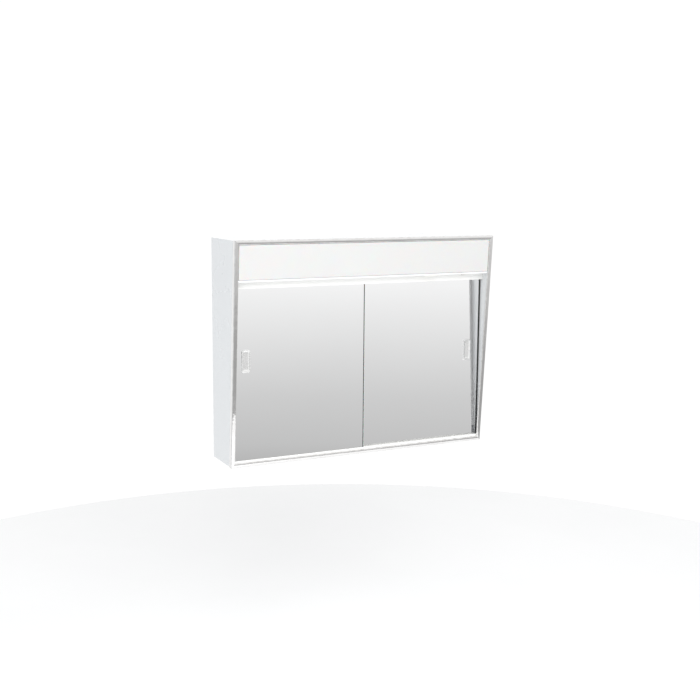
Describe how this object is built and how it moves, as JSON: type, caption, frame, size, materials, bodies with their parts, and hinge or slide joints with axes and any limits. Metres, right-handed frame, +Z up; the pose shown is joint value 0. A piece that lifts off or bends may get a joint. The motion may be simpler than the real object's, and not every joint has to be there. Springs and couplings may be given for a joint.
{
  "type": "medicine cabinet with mirror",
  "caption": "Wall cabinet with two sliding mirror doors in bright trim, shelves behind them and a lighted canopy with diffuser, switch and outlet above.",
  "frame": {"origin": "middle of the face that lies against the wall", "axes": "+X to the right seen from the front, +Y into the wall, +Z up; the mirror doors face -Y"},
  "size_m": [0.6096, 0.142, 0.4716],
  "materials": {
    "white_enamel": "gloss baked enamel on sheet steel",
    "bright_trim": "polished stainless channel, fine buffing lines",
    "mirror_glass": "silvered float glass",
    "mirror_back": "grey mirror-back paint and film",
    "black_vinyl": "soft black edge channel",
    "white_vinyl": "extruded white vinyl, satin",
    "nylon": "natural nylon",
    "plated_pull": "bright plated die casting",
    "diffuser_acrylic": "opal acrylic, satin",
    "reflector_white": "high-gloss white",
    "spring_steel": "plain spring steel",
    "zinc_steel": "zinc plated",
    "porcelain": "glazed porcelain",
    "brass": "drawn brass",
    "lamp_aluminium": "spun aluminium lamp base",
    "frosted_glass": "inside-frosted",
    "switch_plastic": "moulded white",
    "outlet_plastic": "moulded white",
    "lead_insulation": "black PVC insulation",
    "wire_nut_plastic": "moulded orange plastic",
    "green_screw": "green passivated"
  },
  "bodies": {
    "cabinet": {"back_panel": "white_enamel", "bottom_panel": "white_enamel", "diffuser_clips": "spring_steel", "earth_screw": "green_screw", "frame_bottom_rail": "bright_trim", "frame_corner_keys": "zinc_steel", "frame_left_stile": "bright_trim", "frame_right_stile": "bright_trim", "frame_top_rail": "bright_trim", "lamp_reflector": "reflector_white", "lampholder_screws": "zinc_steel", "left_bulb": "frosted_glass", "left_bulb_base": "lamp_aluminium", "left_lamp_bracket": "zinc_steel", "left_lamp_lead": "lead_insulation", "left_lampholder": "porcelain", "left_screw_shell": "brass", "left_side_panel": "white_enamel", "light_box_floor": "white_enamel", "lower_door_track": "white_vinyl", "lower_shelf": "white_enamel", "lower_track_rivets": "zinc_steel", "outlet_body": "outlet_plastic", "outlet_contacts": "brass", "outlet_lead": "lead_insulation", "reflector_screws": "zinc_steel", "right_bulb": "frosted_glass", "right_bulb_base": "lamp_aluminium", "right_lamp_bracket": "zinc_steel", "right_lamp_lead": "lead_insulation", "right_lampholder": "porcelain", "right_screw_shell": "brass", "right_side_panel": "white_enamel", "shelf_ledges": "white_enamel", "switch_body": "switch_plastic", "switch_lead": "lead_insulation", "top_panel": "white_enamel", "upper_door_track": "white_vinyl", "upper_shelf": "white_enamel", "upper_track_rivets": "zinc_steel", "wire_nuts": "wire_nut_plastic"},
    "left_door": {"left_door_backing": "mirror_back", "left_door_bumper": "black_vinyl", "left_door_glides": "nylon", "left_door_mirror": "mirror_glass", "left_door_pull": "plated_pull"},
    "right_door": {"right_door_backing": "mirror_back", "right_door_bumper": "black_vinyl", "right_door_glides": "nylon", "right_door_mirror": "mirror_glass", "right_door_pull": "plated_pull"},
    "diffuser": {"diffuser": "diffuser_acrylic"},
    "rocker": {"switch_rocker": "switch_plastic"}
  },
  "joints": [
    {"name": "left_door_slide", "type": "slide", "parent": "cabinet", "child": "left_door", "axis": [1, 0, 0], "range_m": [0, 0.296]},
    {"name": "right_door_slide", "type": "slide", "parent": "cabinet", "child": "right_door", "axis": [-1, 0, 0], "range_m": [0, 0.296]},
    {"name": "diffuser_unsnap", "type": "slide", "parent": "cabinet", "child": "diffuser", "axis": [0, -1, 0], "range_m": [0, 0.05]},
    {"name": "rocker_throw", "type": "hinge", "parent": "cabinet", "child": "rocker", "pos_m": [0.245, -0.11923, 0.15215], "axis": [0, 1, 0], "range_deg": [0, 18]}
  ]
}
